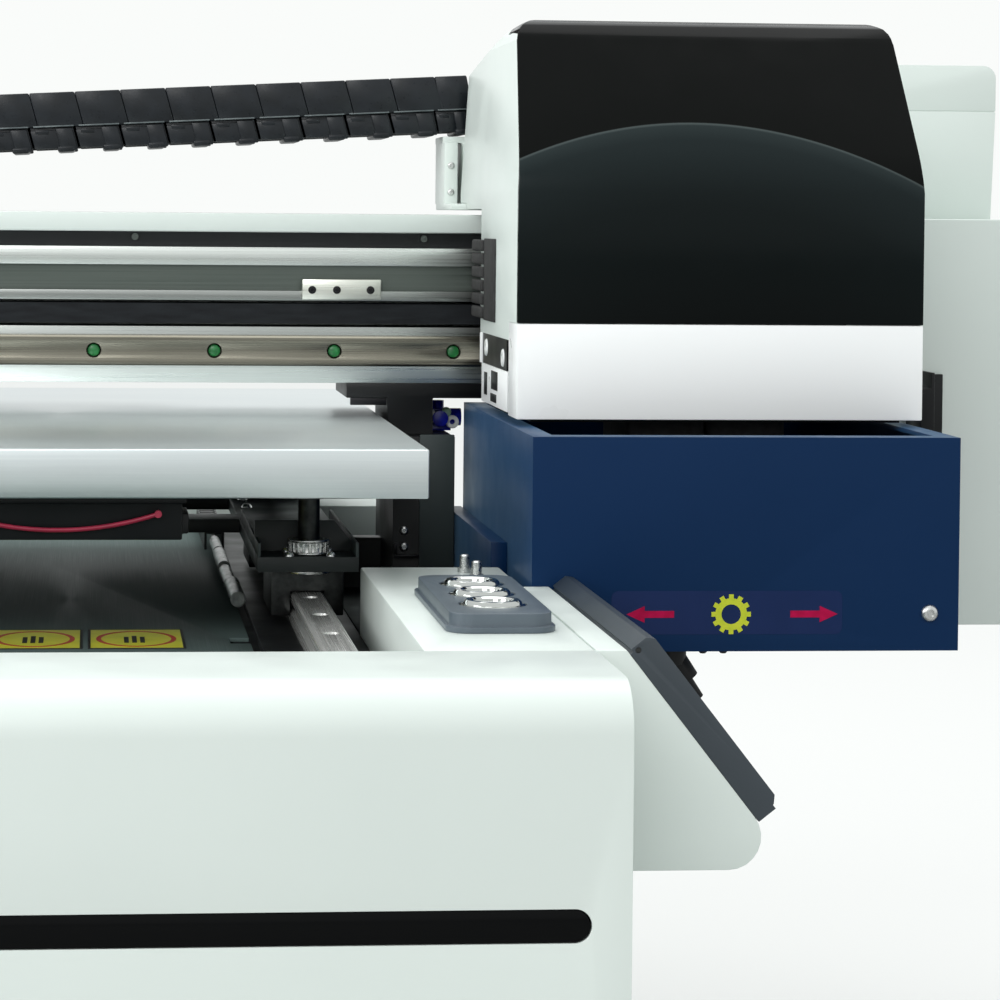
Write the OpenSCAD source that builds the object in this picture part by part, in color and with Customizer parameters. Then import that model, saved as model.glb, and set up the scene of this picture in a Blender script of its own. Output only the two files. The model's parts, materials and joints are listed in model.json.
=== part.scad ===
// Desktop flatbed UV printer: a moving vacuum table under a gantry carriage,
// with a capping station on the right and a drag chain behind the beam.
// Millimetres, +X right, +Y to the back, +Z up, origin at the centre of the footprint.

/* [Body] */
// half width of the lower body
body_half = 201; // [195:1:210]
// front face of the lower body
front_y = -440; // [-450:1:-430]
// height of the front rim and the decks
deck_z = 295; // [280:1:310]
// radius of the front shell's top edge
shell_r = 18; // [8:1:24]
// thickness of the painted sheet panels
sheet = 3; // [1.5:0.5:4]

/* [Table] */
// half width of the table
table_half = 160; // [140:1:160]
// top face of the table
table_z = 354.4; // [350:0.1:356]
// thickness of the table
table_t = 21.4; // [12:0.1:24]
// front edge of the table at rest
table_y = -167; // [-180:1:-150]
// length of the table
table_len = 460; // [400:1:470]

/* [Gantry] */
// underside of the beam
beam_z = 370.5; // [365:0.5:380]
// half length of the beam
beam_half = 400; // [380:1:400]
// hole pitch of the rails
rail_pitch = 60; // [40:5:80]

/* [Carriage] */
// left side of the carriage
car_x0 = 207; // [200:1:212]
// right side of the carriage
car_x1 = 395; // [385:1:396]
// front face of the carriage
car_y = -101; // [-110:1:-90]
// top of the carriage
car_z = 548; // [530:1:560]

/* [Capping station] */
// left side of the station box
box_x0 = 205; // [205:1:210]
// right side of the station box
box_x1 = 394; // [380:1:396]
// front of the station box
box_y0 = -167; // [-180:1:-150]
// height of the station box's top
box_z1 = 360; // [350:1:360]

/* [Hidden] */
table_z0 = table_z - table_t;
y_rail_x = 115;
y_rail_z = 280;
screw_x = 114;
screw_ys = [-84, 210];
belt_y = 73.5;
lid_m = [237, 262.5];
lid_a = 52;

// ---- helpers ----
function arc(cx, cy, r, a0, a1, n) =
    [for (i = [0 : n]) let (a = a0 + (a1 - a0) * i / n) [cx + r * cos(a), cy + r * sin(a)]];

module box(x0, x1, y0, y1, z0, z1)
{
    translate([x0, y0, z0])
        cube([x1 - x0, y1 - y0, z1 - z0]);
}

module along_x(x0, x1)
{
    translate([x0, 0, 0])
        rotate([90, 0, 90])
            linear_extrude(height = x1 - x0)
                children();
}

module along_y(y0, y1)
{
    translate([0, y1, 0])
        rotate([90, 0, 0])
            linear_extrude(height = y1 - y0)
                children();
}

module post(x, y, z0, z1, r)
{
    translate([x, y, z0])
        cylinder(r = r, h = z1 - z0, $fn = 48);
}

module rod_y(x, z, y0, y1, r)
{
    translate([x, y1, z])
        rotate([90, 0, 0])
            cylinder(r = r, h = y1 - y0, $fn = 48);
}

module rod_x(y, z, x0, x1, r)
{
    translate([x0, y, z])
        rotate([0, 90, 0])
            cylinder(r = r, h = x1 - x0, $fn = 48);
}

module rounded(x0, x1, y0, y1, z0, z1, r)
{
    box(x0 + r, x1 - r, y0, y1, z0, z1);
    box(x0, x1, y0 + r, y1 - r, z0, z1);
    for (x = [x0 + r, x1 - r])
        for (y = [y0 + r, y1 - r])
            post(x, y, z0, z1, r);
}

// ---- lower body ----
// four screw feet with rubber pads
module levelling_feet()
{
    color([0.12, 0.12, 0.13])
        for (x = [-165, 165])
            for (y = [-385, 385])
            {
                post(x, y, 0, 9, 22);
                translate([x, y, 9])
                    cylinder(r1 = 20, r2 = 9, h = 5, $fn = 48);
                post(x, y, 14, 40, 6);
                translate([x, y, 33])
                    cylinder(r = 11, h = 7, $fn = 6);
            }
}

// pan, side webs, cross members, the two beams under the Y rails and the screw bearings
module chassis()
{
    color([0.13, 0.14, 0.15])
        difference()
        {
            union()
            {
                box(-197, 197, -419, 436, 40, 44);
                for (s = [-1, 1])
                {
                    box(s > 0 ? 193 : -197, s > 0 ? 197 : -193, -419, 436, 44, 254);
                    box(s > 0 ? 170 : -193, s > 0 ? 193 : -170, -356, 436, 250, 254);
                    box(s > 0 ? 90 : -136.5, s > 0 ? 136.5 : -90, -356, 430, 205, 265);
                }
                for (y = [-340, -60, 150, 395])
                    box(-193, 193, y, y + 20, 44, 205);
                for (y = [-392, 378])
                    box(-76, -44, y, y + 12, 205, 248);
                box(-76, -44, -392, -340, 195, 205);
                box(-76, -44, 378, 400, 195, 205);
                box(79, 91, -356, 430, 257, 262);
                for (y = [-340, -60, 150, 395])
                    box(-37, -25, y + 2, y + 18, 205, 262);
            }
            rod_y(-60, 232, -400, 400, 6.06);
        }
}

// one folded cover with a rolled top edge, open below and behind
module front_shell()
{
    fy = front_y;
    rim = -360;
    r = shell_r;
    color([0.9, 0.91, 0.9])
        difference()
        {
            along_x(-body_half, body_half)
                polygon(concat([[fy, 40]], arc(fy + r, deck_z - r, r, 180, 90, 9),
                    [[rim, deck_z], [rim, 40]]));
            along_x(3 - body_half, body_half - 3)
                polygon(concat([[fy + 3, 30]], arc(fy + r, deck_z - r, r - 3, 180, 90, 9),
                    [[rim - 3, deck_z - 3], [rim - 3, 30]]));
            box(3 - body_half, body_half - 3, rim - 4, rim + 1, 30, 256);
            box(-181.1, 181.1, fy - 1, fy + 4, 205.4, 217.3);
            for (x = [-181.1, 181.1])
                rod_y(x, 211.35, fy - 1, fy + 4, 5.95);
        }
}

// long black acrylic light strip let into the front
module front_strip()
{
    color([0.02, 0.02, 0.02])
        union()
        {
            box(-180.8, 180.8, front_y + 0.4, front_y + 4.5, 205.7, 217);
            for (x = [-180.8, 180.8])
                rod_y(x, 211.35, front_y + 0.4, front_y + 4.5, 5.65);
            box(-180, 180, front_y + 3.2, front_y + 5.5, 203, 220);
        }
}

// painted side panels with cooling slots towards the back
module side_covers()
{
    color([0.9, 0.91, 0.9])
        for (s = [0, 1])
            mirror([s, 0, 0])
                difference()
                {
                    box(body_half - sheet, body_half, -359.7, 437, 40, 262.7);
                    for (i = [0 : 9])
                        box(190, 210, 270, 370, 110 + 9 * i, 113 + 9 * i);
                }
}

// back sheet with the cut-out of the power inlet and a louvre field
module rear_panel()
{
    color([0.86, 0.87, 0.86])
        difference()
        {
            box(-body_half, body_half, 437, 440, 40, deck_z);
            box(-160, -100, 430, 445, 90, 121);
            for (i = [0 : 8])
                box(40, 140, 430, 445, 110 + 9 * i, 113 + 9 * i);
        }
}

module deck_body()
{
    for (e = [[-359.7, -94], [200, 436.7]])
    {
        box(137, body_half - 0.3, e[0], e[1], deck_z - sheet, deck_z);
        box(137, 140, e[0], e[1], 254.3, deck_z - sheet);
        box(body_half - 3.3, body_half - 0.3, e[0], e[1], 263, deck_z - sheet);
    }
    box(140, body_half - 3.3, -97, -94, 254.3, deck_z - sheet);
    box(140, body_half - 3.3, 200, 203, 254.3, deck_z - sheet);
}

// right deck, cut out for the button box
module deck_right()
{
    color([0.9, 0.91, 0.9])
        difference()
        {
            deck_body();
            box(155.5, 189.5, -310.5, -189.5, 280, 300);
        }
}

module deck_left()
{
    color([0.9, 0.91, 0.9])
        mirror([1, 0, 0])
            deck_body();
}

// stainless floor between the rails, with a finger notch and a slot for the drive
module trough_plate()
{
    color([0.62, 0.63, 0.62])
        difference()
        {
            box(-76, 86, -356, 430, 262, 264);
            translate([86, -110, 260])
                cylinder(r = 9, h = 6, $fn = 48);
            box(77, 90, -119, -101, 260, 266);
        }
}

module rail_section()
{
    polygon([[-7.5, 0], [7.5, 0], [7.5, 5.2], [5.4, 6.6], [5.4, 9.2], [7.5, 10.6], [7.5, 14],
        [6.5, 15], [-6.5, 15], [-7.5, 14], [-7.5, 10.6], [-5.4, 9.2], [-5.4, 6.6], [-7.5, 5.2]]);
}

// table guide rails with counterbored screw holes
module y_rails()
{
    color([0.7, 0.7, 0.68])
        for (x = [-y_rail_x, y_rail_x])
            difference()
            {
                along_y(-352, 426)
                    translate([x, y_rail_z - 15])
                        rail_section();
                for (i = [0 : 12])
                {
                    post(x, -323 + rail_pitch * i, y_rail_z - 5.3, y_rail_z + 1, 3.75);
                    post(x, -323 + rail_pitch * i, y_rail_z - 16, y_rail_z, 2.25);
                }
            }
}

// ---- side pod ----
module pod_profile()
{
    polygon(concat([[body_half + 0.3, 212.8]], arc(251.6, 225, 12.2, -90, 38, 8),
        [[212.4, deck_z], [body_half + 0.3, deck_z]]));
}

module pod_frame()
{
    translate([lid_m[0], 0, lid_m[1]])
        rotate([0, lid_a, 0])
            children();
}

// ink compartment on the right side, open under its sloped lid
module side_pod()
{
    color([0.9, 0.91, 0.9])
        difference()
        {
            along_y(-360, -167)
                pod_profile();
            difference()
            {
                along_y(-357.5, -169.5)
                    translate([lid_m[0], lid_m[1]])
                        scale([0.93, 0.93])
                            translate([-lid_m[0], -lid_m[1]])
                                pod_profile();
                pod_frame()
                    box(-60, 60, -370, -160, -2.5, 20);
            }
            pod_frame()
                rounded(-35, 35, -352, -175, -8, 6, 5);
        }
}

// four ink bottles standing in the pod
module ink_bottles()
{
    color([0.8, 0.8, 0.78])
        for (i = [0 : 3])
            translate([228, -330 + 44.5 * i, 0])
            {
                rounded(-19, 19, -19, 19, 217.2, 243, 4);
                translate([-8, 0, 243])
                    cylinder(r = 9, h = 3, $fn = 48);
                translate([-8, 0, 246])
                    cylinder(r = 11, h = 10, $fn = 48);
            }
}

// bevelled slab lid, hinged along its upper edge
module pod_lid()
{
    color([0.2, 0.23, 0.27])
        pod_frame()
            difference()
            {
                union()
                {
                    box(-38.6, 41, -359.7, -167.3, 0.8, 8.8);
                    box(-40, -38.5, -359.7, -167.3, 2.2, 8.8);
                    translate([0, -359.7, 0])
                        rotate([90, 0, 180])
                            mirror([1, 0, 0])
                                linear_extrude(height = 192.4)
                                    polygon([[-40, 8.7], [39.2, 8.7], [39.2, 9.2], [36.6, 11.6],
                                        [-37.5, 11.6], [-40, 9.2]]);
                    rounded(-33, 33, -350, -177, -1.6, 0.9, 4);
                }
                box(-30, 30, -347, -180, -3, -0.6);
                rod_y(-38, 4, -360.5, -354.5, 1.1);
                rod_y(-38, 4, -172.5, -166.5, 1.1);
            }
}

// ---- gantry ----
// foot plates, pedestals, posts and head plates; the right one also carries the station box
module gantry_columns()
{
    color([0.1, 0.1, 0.11])
        union()
        {
            for (s = [0, 1])
                mirror([s, 0, 0])
                {
                    box(139, 197, -92, 198, 254, 262);
                    box(165, 196, 40, 130, 262, 345);
                    box(163.7, 187, 60, 125, 345, 363);
                    box(143, 212, 60, 128, 363, beam_z);
                    box(139, 165, 100, 112, 262, 288);
                }
            box(197.3, 204.9, -90, 84, 263, 306);
            box(190, 198, -90, 84, 262, 268);
            box(204, 380, -60, 78, 262, 266.3);
        }
}

// extruded beam: stepped front with a belt groove, closed chamber behind
module beam()
{
    color([0.72, 0.73, 0.72])
        difference()
        {
            along_x(-beam_half, beam_half)
                polygon([[61, beam_z], [61, 398.8], [86, 398.8], [86, 412], [61, 412], [61, 417],
                    [66, 417], [66, 429.7], [61, 429.7], [61, 438.8], [75, 438.8], [75, 446.4],
                    [59, 446.4], [59, 456], [125, 456], [125, beam_z]]);
            along_x(-beam_half - 1, beam_half + 1)
                polygon([[90, 375], [121, 375], [121, 452], [90, 452]]);
            along_x(-beam_half - 1, beam_half + 1)
                polygon([[65, 374.5], [86, 374.5], [86, 377], [65, 377]]);
        }
}

// small screwed plate on the beam's ledge
module beam_plate()
{
    color([0.75, 0.75, 0.72])
        box(120, 160, 57.5, 61, 412.6, 423);
}

// carriage rail, screw holes every pitch
module x_rail()
{
    color([0.72, 0.68, 0.66])
        difference()
        {
            along_x(-396, 396)
                translate([61, 387.2])
                    rotate(90)
                        rail_section();
            for (i = [-6 : 6])
            {
                rod_y(15.5 + rail_pitch * i, 387.2, 45, 51.3, 3.75);
                rod_y(15.5 + rail_pitch * i, 387.2, 51, 62, 2.25);
            }
        }
}

// toothed belt loop in the beam's groove
module x_belt()
{
    color([0.03, 0.03, 0.03])
        difference()
        {
            union()
            {
                box(-372, 383, belt_y - 10.7, belt_y + 10.7, 400.4, 410.4);
                post(-372, belt_y, 400.4, 410.4, 10.7);
                post(383, belt_y, 400.4, 410.4, 10.7);
            }
            box(-372, 383, belt_y - 9.3, belt_y + 9.3, 400, 411);
            post(-372, belt_y, 400, 411, 9.3);
            post(383, belt_y, 400, 411, 9.3);
        }
}

// carriage motor under the beam's left end and table motor at the back of the base
module motors()
{
    color([0.08, 0.08, 0.09])
        difference()
        {
            union()
            {
                box(-393, -351, 52.5, 94.5, 327, 367);
                box(-397, -347, 61, 98, 367, beam_z);
                box(-81, -39, 390, 435.5, 211, 253);
            }
            rod_y(-60, 232, 389, 406, 6.06);
        }
}

module pulley(x)
{
    color([0.7, 0.7, 0.7])
        union()
        {
            post(x, belt_y, 400.1, 410.7, 9);
            post(x, belt_y, 399.1, 400.1, 9.2);
            post(x, belt_y, 410.7, 411.7, 9.2);
            post(x, belt_y, 399.1, 411.8, 3);
        }
}

// right end housing, open towards the beam
module end_housing_right()
{
    color([0.88, 0.9, 0.88])
        difference()
        {
            box(400, 520, 67, 250, 246, 456);
            box(403, 517, 70, 247, 249, 453);
            box(406, 495, 143, 246, 450, 458);
        }
}

// taller rear cover on the right, in two sheets with a seam
module upper_housing_right()
{
    color([0.88, 0.9, 0.88])
        difference()
        {
            union()
            {
                along_y(140, 250)
                    polygon([[403, 456], [498.5, 456], [500.5, 514], [403, 514]]);
                along_y(140.4, 249.6)
                    polygon([[403.4, 513.9], [499.9, 513.9], [500.1, 514.8], [403.4, 514.8]]);
                along_y(140, 250)
                    polygon(concat([[403, 514.6], [500.5, 514.6]], arc(493.5, 532, 7, 0, 90, 6),
                        [[403, 539]]));
            }
            box(402, 495, 143, 247, 455, 536);
        }
}

// left end housing with its rear cover, open inwards for the drag chain
module end_housing_left()
{
    color([0.88, 0.9, 0.88])
        difference()
        {
            union()
            {
                box(-520, -400, 67, 250, 246, 456);
                box(-516, -403, 121, 250, 456, 539);
            }
            box(-517, -403, 70, 247, 249, 453);
            box(-513, -406, 124, 247, 380, 536);
            box(-410, -398, 118, 180, 385, 545);
        }
}

// sheet tray that carries the drag chain behind the beam
module chain_tray()
{
    color([0.2, 0.2, 0.21])
        union()
        {
            box(-505, 62, 126.5, 172, 396.8, 399.6);
            box(-505, 62, 170.4, 172, 399.6, 411);
            box(-397, 62, 125, 126.5, 376, 399.6);
        }
}

// standing lower run of the drag chain
module chain_lower()
{
    color([0.06, 0.06, 0.07])
        difference()
        {
            box(-209, 36, 128.2, 167.8, 399.8, 431.8);
            box(-215, 34, 133, 163, 405, 427);
            for (i = [0 : 9])
                box(-200 + 23.7 * i, -197 + 23.7 * i, 126, 170, 427.5, 433);
        }
}

// rolling bend, with the spare run that feeds out of the standing run
module chain_bend()
{
    color([0.06, 0.06, 0.07])
        union()
        {
            difference()
            {
                rod_y(-210, 453.8, 128.4, 167.6, 54);
                rod_y(-210, 453.8, 120, 175, 22);
                box(-210, -150, 120, 175, 380, 520);
            }
            box(-210.5, 26, 133.7, 162.3, 405.7, 426.3);
        }
}

// sloping upper run from the bend to the carriage
module chain_upper()
{
    color([0.06, 0.06, 0.07])
        difference()
        {
            along_y(128.2, 167.8)
                polygon([[-209.7, 475.9], [-209.7, 507.8], [213.8, 530.4], [213.8, 498.4]]);
            along_y(133, 163)
                polygon([[-212, 481], [-212, 502.6], [208, 525.2], [208, 503.2]]);
        }
}

// ---- capping station ----
// painted box, open under the parked carriage, with the bushing of the cap lift
module station_box()
{
    color([0.08, 0.18, 0.34])
        union()
        {
            difference()
            {
                box(box_x0, box_x1, box_y0, 78, 266.5, box_z1);
                box(box_x0 + 2, box_x1 - 2, box_y0 + 2, 76, 268.5, box_z1 - 2);
                box(box_x0 + 10, box_x1 - 9, box_y0 + 12, 66, 300, box_z1 + 1);
                rod_y(293, 283, box_y0 - 1, box_y0 + 3, 4.25);
            }
            difference()
            {
                post(301, -35, 268.5, 292, 11);
                post(301, -35, 268, 293, 6.06);
            }
            difference()
            {
                box(285, 301, -100, -92, 268.5, 292);
                rod_y(293, 283, -101, -91, 4.06);
            }
        }
}

// optical stop on a bracket at the right housing
module home_sensor()
{
    color([0.07, 0.07, 0.07])
        union()
        {
            box(433.3, 435.1, 20, 67, 335, 379);
            box(428, 433.4, 20, 38, 345, 371);
            box(435, 452, 64.6, 67, 340, 376);
        }
}

// cap carrier with two rubber caps, guided by its post
module cap_tray()
{
    color([0.12, 0.12, 0.13])
        difference()
        {
            union()
            {
                box(244, 358, -84, 14, 330, 334);
                for (x = [263, 301])
                    rounded(x + 0.3, x + 37.7, -69, -1, 334, 360.4, 4);
                post(301, -35, 276, 330, 6);
            }
            for (x = [263, 301])
                rounded(x + 3, x + 35, -66, -4, 350, 361, 3);
        }
}

// shaft with a hexagon socket behind the height label
module cap_adjuster()
{
    color([0.6, 0.6, 0.6])
        difference()
        {
            rod_y(293, 283, box_y0 + 0.4, -60, 4);
            translate([293, box_y0 + 3.4, 283])
                rotate([90, 0, 0])
                    cylinder(r = 2.3, h = 4, $fn = 6);
        }
}

// slanted waste spout under the box
module drain_spout()
{
    color([0.03, 0.03, 0.03])
        difference()
        {
            union()
            {
                translate([270, -142, 262])
                    rotate([0, 147, 0])
                        cylinder(r = 6.5, h = 14, $fn = 48);
                translate([270, -142, 262])
                    rotate([0, 147, 0])
                        cylinder(r = 3.4, h = 24, $fn = 48);
                post(270, -142, 258, 266.4, 8);
            }
            translate([270, -142, 262])
                rotate([0, 147, 0])
                    cylinder(r = 2, h = 30, $fn = 48);
        }
}

// air valve with push-in fittings beside the right column
module air_fittings()
{
    color([0.05, 0.1, 0.6])
        union()
        {
            box(187, 199, 84, 104, 345, 347);
            box(187.3, 199, 86, 102, 347, 356);
            rod_x(92, 351.5, 199, 205, 4.5);
            rod_y(193, 351.5, 78, 86, 4);
            post(193, 94, 356, 360, 3.5);
        }
}

// ---- carriage ----
// back plate, top arm, head shelf and belt clip
module carriage_plate()
{
    color([0.6, 0.61, 0.62])
        difference()
        {
            union()
            {
                box(222, 380, 25, 33, 366, 466);
                box(222, 380, 33, 112, 462, 466);
                box(222, 346, -84, 25, 371, 375);
                box(290, 312, 33, 62.5, 400.6, 410.4);
                box(222, 226, -60, 25, 375, 420);
            }
            box(257, 345, -70, 2, 370, 376);
        }
}

// two guide carriages on the beam's rail
module x_blocks()
{
    color([0.62, 0.62, 0.6])
        for (x = [228, 316])
            along_x(x, x + 58)
                polygon([[33, 370.4], [56.5, 370.4], [56.5, 379.4], [45.7, 379.4], [45.7, 395],
                    [56.5, 395], [56.5, 398.6], [33, 398.6]]);
}

module car_side()
{
    polygon([[car_y, 363], [car_y, 467], [-100, 473], [-97, 480.5], [-93.8, 486], [-57, 540.5],
        [-52.5, 545.5], [-45, car_z], [116, 529], [116, 459], [30, 459], [30, 398], [-72, 398],
        [-72, 363]]);
}

module car_front()
{
    polygon(concat([[car_x0, 300], [car_x0, 467], [car_x0 + 4.4, 538]],
        arc(car_x0 + 14.6, 538, 10, 178, 90, 6), arc(car_x1 - 14.6, 538, 10, 90, 2, 6),
        [[car_x1 - 4.4, 538], [car_x1, 467], [car_x1, 300]]));
}

module car_inner()
{
    polygon(concat([[car_x0 + 2.5, 300], [car_x0 + 2.5, 467], [car_x0 + 6.9, 538]],
        arc(car_x0 + 15, 537, 8, 178, 90, 6), arc(car_x1 - 15, 537, 8, 90, 2, 6),
        [[car_x1 - 6.9, 538], [car_x1 - 2.5, 467], [car_x1 - 2.5, 300]]));
}

module car_front_skin(t)
{
    polygon([[car_y + t, 340], [car_y + t, 467], [-100 + t, 472.6], [-97 + t, 479.5],
        [-93.8 + t * 0.95, 485], [-57 + t, 538.6], [-52.5 + t * 0.8, 543.6], [-45, car_z - t],
        [140, 526 - t + 2.9], [140, 340]]);
}

// white lower band of the hood
module carriage_band()
{
    color([0.93, 0.94, 0.94])
        difference()
        {
            box(car_x0, car_x1, car_y, -72, 363, 406.6);
            box(car_x0 + 2.5, car_x1 - 2.5, car_y + 2.5, -60, 350, 420);
        }
}

// white side and top skin of the hood
module carriage_shell()
{
    color([0.9, 0.91, 0.9])
        difference()
        {
            intersection()
            {
                along_x(car_x0, car_x1)
                    car_side();
                along_y(-98, 116)
                    car_front();
            }
            along_y(-120, 120)
                intersection()
                {
                    car_inner();
                    translate([0, 300])
                        square([500, 222.5]);
                }
            intersection()
            {
                along_y(-120, 112)
                    car_inner();
                along_x(200, 400)
                    polygon([[-120, 340], [-120, 484], [-95, 484], [-55, 536], [-46, 545],
                        [120, 525.5], [120, 340]]);
            }
            box(200, 400, -110, -71.7, 340, 406.7);
            box(200, 265, 90, 118, 450, 462.2);
            along_x(200, 400)
                polygon([[-110, 406.9], [-97.7, 406.9], [-97.7, 466.8], [-93.8, 484.4],
                    [-89, 491], [-54, 542.5], [-20, 542], [-20, 560], [-110, 560]]);
        }
}

// glossy black front cover
module carriage_cover()
{
    color([0.01, 0.01, 0.01])
        difference()
        {
            intersection()
            {
                along_x(car_x0, car_x1)
                    car_side();
                along_y(-120, 116)
                    car_front();
            }
            along_x(200, 400)
                polygon([[-98, 350], [-98, 466.6], [-94.1, 484.1], [-89.3, 490.7],
                    [-54.3, 542.9], [-20.3, 542.4], [-20.3, 560], [150, 560], [150, 350]]);
            box(200, 400, -130, 130, 340, 406.9);
        }
}

// black cover under the hood, open around the heads and the lamp
module head_plate()
{
    color([0.04, 0.04, 0.04])
        difference()
        {
            union()
            {
                box(214, 386, -95, 18, 361.6, 365);
                for (x = [229, 345])
                    for (y = [-77, 12])
                        post(x, y, 364, 371, 3);
            }
            box(261, 341, -71, 1, 360, 367);
            box(349, 383, -91, 11, 360, 367);
        }
}

// two print heads with their ink manifolds
module print_heads()
{
    color([0.3, 0.31, 0.33])
        for (x = [265, 303])
        {
            box(x, x + 34, -66, -2, 361, 392);
            box(x - 7, x + 34, -72, 4, 375, 378);
            box(x + 4, x + 30, -60, -8, 392, 414);
            post(x + 10, -48, 414, 424, 3);
            post(x + 24, -20, 414, 424, 3);
        }
}

// ultraviolet curing lamp beside the heads
module uv_lamp()
{
    color([0.1, 0.1, 0.11])
        difference()
        {
            union()
            {
                box(350, 382, -90, 10, 362.5, 402);
                box(350, 380, -20, 25, 402, 408);
            }
            for (i = [0 : 7])
                box(349, 383, -84 + 12 * i, -78 + 12 * i, 384, 410);
            box(354, 378, -86, 6, 362, 364.5);
        }
}

// bracket that pulls the drag chain along
module chain_bracket()
{
    color([0.85, 0.86, 0.85])
        union()
        {
            box(199, 262, 92, 160, 458.6, 461.8);
            box(199, 206, 122, 164, 461.8, 494);
            box(209, 213, 122, 166, 461.8, 494);
            box(199, 213.8, 130, 166, 494, 497.4);
        }
}

// ---- table drive ----
// bridge plates on the guide carriages, cross bars, gussets and the screw nut
module y_carriage()
{
    color([0.07, 0.07, 0.08])
        difference()
        {
            union()
            {
                for (s = [0, 1])
                    mirror([s, 0, 0])
                    {
                        box(90, 136, -97, 226, 293.2, 300);
                        along_y(-70, -66)
                            polygon([[90, 299], [136, 299], [136, 303], [127, 314],
                                [90, 314]]);
                        along_y(192, 196)
                            polygon([[90, 299], [136, 299], [136, 303], [127, 314],
                                [90, 314]]);
                    }
                for (y = [75, 196])
                    box(-92, 92, y, y + 28, 293.2, 300);
                box(-92, -80, 40, 90, 293.2, 300);
                box(-84.5, -79.5, 40, 90, 216, 294);
                box(-84.5, -44, 40, 90, 216, 248);
            }
            rod_y(-60, 232, 30, 100, 6.06);
            for (x = [-screw_x, screw_x])
                for (y = screw_ys)
                    post(x, y, 290, 305, 7.06);
        }
}

// four guide carriages of the table
module y_blocks()
{
    color([0.6, 0.6, 0.6])
        for (x = [-y_rail_x, y_rail_x])
            for (y = [-64, 130])
                translate([x, 0])
                    along_y(y, y + 60)
                        polygon([[-17, 269], [-17, 293], [17, 293], [17, 269], [7.8, 269],
                            [7.8, 280.3], [-7.8, 280.3], [-7.8, 269]]);
}

// table screw under the trough floor
module y_screw()
{
    color([0.65, 0.65, 0.65])
        union()
        {
            rod_y(-60, 232, -396, 405, 6);
            rod_y(-60, 232, -377.5, -374, 9);
        }
}

// table plate, pocketed underneath
module table_top()
{
    color([0.75, 0.77, 0.78])
        difference()
        {
            box(-table_half, table_half, table_y, table_y + table_len, table_z0, table_z);
            for (x = [-98, 62])
                box(x, x + 36, -150, 60, table_z0 - 1, table_z0 + 14);
            box(-98, 98, 70, 180, table_z0 - 1, table_z0 + 14);
        }
}

// suction fan box under the table
module fan_box()
{
    color([0.03, 0.03, 0.03])
        union()
        {
            box(-54, 54, -155, 20, 314, table_z0);
            box(-56, 56, -158, 23, 330, table_z0);
            box(53, 57, -148, -120, 316, 325);
        }
}

// red lead clipped along the fan box's front
module fan_lead()
{
    color([0.6, 0.03, 0.08])
        union()
        {
            translate([0, -156.7, 457.1])
                rotate([90, 0, 0])
                    rotate([0, 0, 251.6])
                        rotate_extrude(angle = 36.8, $fn = 96)
                            translate([138.6, 0])
                                circle(r = 1, $fn = 24);
            rod_y(-43.5, 325.5, -158.2, -155, 1.6);
            rod_y(43.5, 325.5, -158.2, -155, 1.6);
        }
}

// screws that hang from the table, two towards the front and two towards the back
module lift_screws()
{
    color([0.6, 0.6, 0.6])
        for (x = [-screw_x, screw_x])
            for (y = screw_ys)
            {
                post(x, y, 299.5, 326, 5);
                post(x, y, 326, table_z0, 10);
            }
}

module lift_nut(x, y)
{
    color([0.72, 0.72, 0.7])
        difference()
        {
            union()
            {
                post(x, y, 291.4, 293, 9.5);
                post(x, y, 292, 301, 7);
                post(x, y, 300.3, 301.3, 9.5);
                post(x, y, 301, 306.2, 8.8);
                post(x, y, 306, 307, 9.5);
            }
            post(x, y, 290, 308, 5.05);
        }
}

// ---- operator panel and power ----
// three-button box let into the right deck
module button_bezel()
{
    color([0.33, 0.38, 0.43])
        difference()
        {
            union()
            {
                rounded(151, 194, -315, -185, deck_z, deck_z + 2.4, 10);
                rounded(152.5, 192.5, -313.5, -186.5, deck_z + 2.4, deck_z + 7.5, 9);
                box(156, 189, -310, -190, 280, deck_z);
            }
            for (y = [-283, -250, -217])
                post(172.5, y, 282, deck_z + 10, 13.55);
        }
}

module push_button(y)
{
    color([0.85, 0.86, 0.86])
        union()
        {
            post(172.5, y, 285, deck_z + 8.2, 13.5);
            post(172.5, y, deck_z + 8.2, deck_z + 9.4, 11.5);
        }
}

// mains inlet with its switch frame
module power_inlet()
{
    color([0.05, 0.05, 0.05])
        difference()
        {
            union()
            {
                box(-159.7, -100.3, 417, 439.6, 90.3, 120.7);
                box(-163, -97, 434.2, 436.9, 87, 124);
            }
            box(-130, -104, 422, 441, 95, 116);
            box(-156, -136, 425, 441, 95, 116);
        }
}

// rocker switch
module power_rocker()
{
    color([0.1, 0.1, 0.1])
        union()
        {
            rod_x(434, 105.5, -155.6, -136.4, 3.4);
            along_x(-155.6, -136.4)
                polygon([[434, 97.5], [437.5, 98.5], [436.4, 105.5], [437.5, 112.5],
                    [434, 113.5], [430.6, 105.5]]);
        }
}

levelling_feet();
chassis();
front_shell();
front_strip();
side_covers();
rear_panel();
deck_right();
deck_left();
trough_plate();
y_rails();
side_pod();
ink_bottles();
gantry_columns();
beam();
beam_plate();
x_rail();
x_belt();
motors();
end_housing_right();
upper_housing_right();
end_housing_left();
chain_tray();
chain_lower();
station_box();
home_sensor();
button_bezel();
drain_spout();
air_fittings();
power_inlet();
carriage_plate();
x_blocks();
carriage_band();
carriage_shell();
carriage_cover();
head_plate();
print_heads();
uv_lamp();
chain_bracket();
chain_upper();
chain_bend();
pulley(-372);  // drive_pulley
pulley(383);  // idler_pulley
y_carriage();
y_blocks();
y_screw();
table_top();
fan_box();
fan_lead();
lift_screws();
lift_nut(screw_x, screw_ys[0]);  // lift_nut_1
lift_nut(-screw_x, screw_ys[0]);  // lift_nut_2
lift_nut(screw_x, screw_ys[1]);  // lift_nut_3
lift_nut(-screw_x, screw_ys[1]);  // lift_nut_4
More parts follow.
